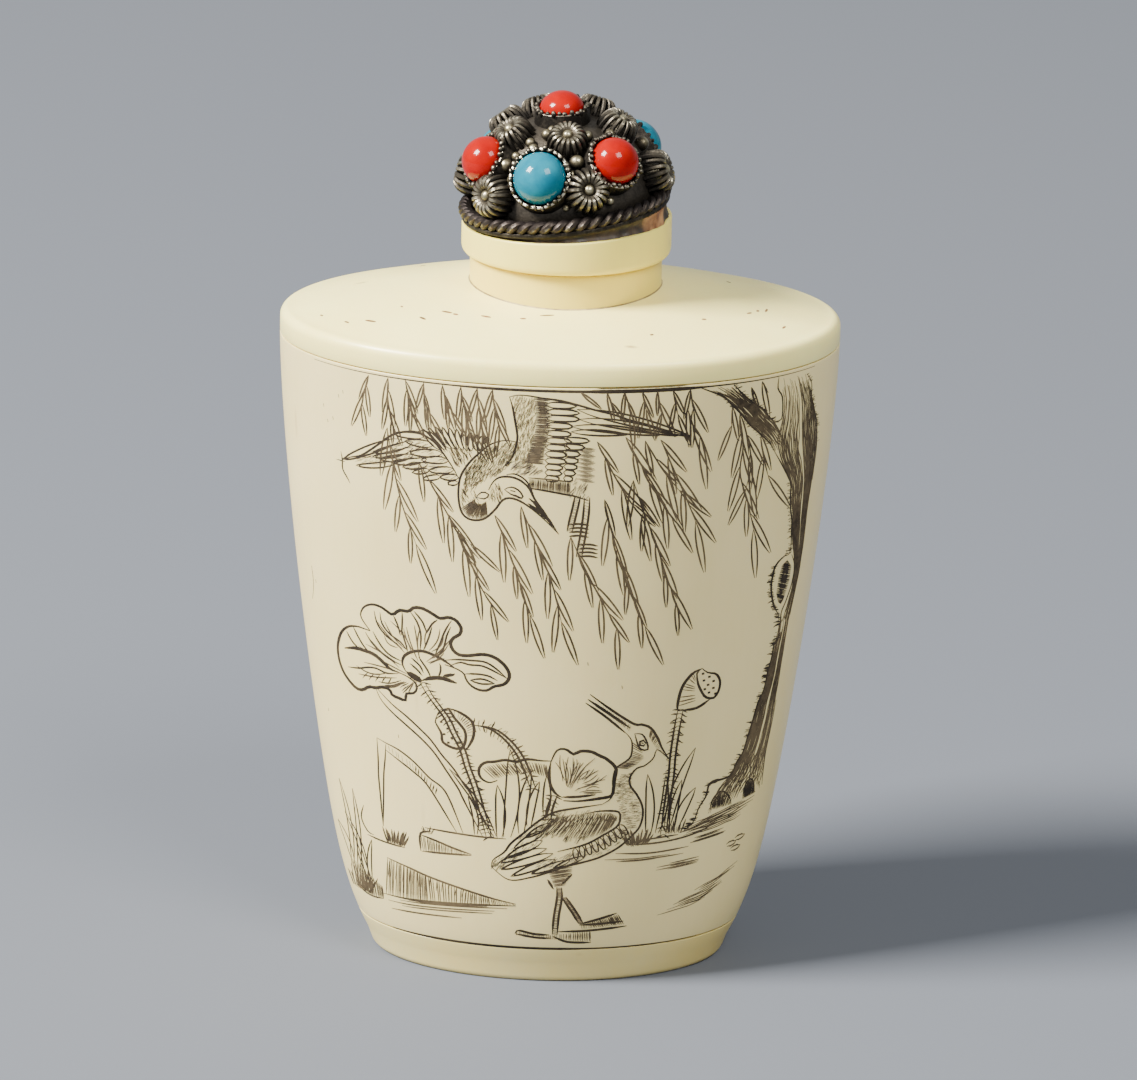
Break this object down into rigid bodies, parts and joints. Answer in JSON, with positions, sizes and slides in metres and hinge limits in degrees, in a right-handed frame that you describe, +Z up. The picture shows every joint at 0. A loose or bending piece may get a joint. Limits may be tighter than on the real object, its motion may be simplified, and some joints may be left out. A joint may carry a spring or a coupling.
{
  "type": "snuff bottle",
  "caption": "Flattened oval snuff bottle of engraved bone on a foot, with a round neck and a tilted dome stopper of dark silver set with coral and turquoise.",
  "frame": {"origin": "centre of the flat underside of the foot", "axes": "+Z up through the neck, +X along the wide side of the oval, and the engraved front faces -Y"},
  "size_m": [0.052, 0.036, 0.0832],
  "materials": {
    "bone": "polished old bone, warm ivory tone",
    "old_silver": "tarnished silver, dark in the hollows and worn bright on the edges",
    "old_glue": "old brown glue",
    "coral": "polished stone",
    "turquoise": "polished stone"
  },
  "bodies": {
    "root": {"body": "bone", "foot_plate": "bone", "shoulder_plate": "bone", "neck_ring": "bone", "stopper_collar": "bone", "stopper_glue": "old_glue", "stopper_dome": "old_silver", "coral_top": "coral", "coral_left": "coral", "coral_right": "coral", "coral_back": "coral", "turquoise_front": "turquoise", "turquoise_right": "turquoise", "turquoise_back": "turquoise"}
  },
  "joints": []
}
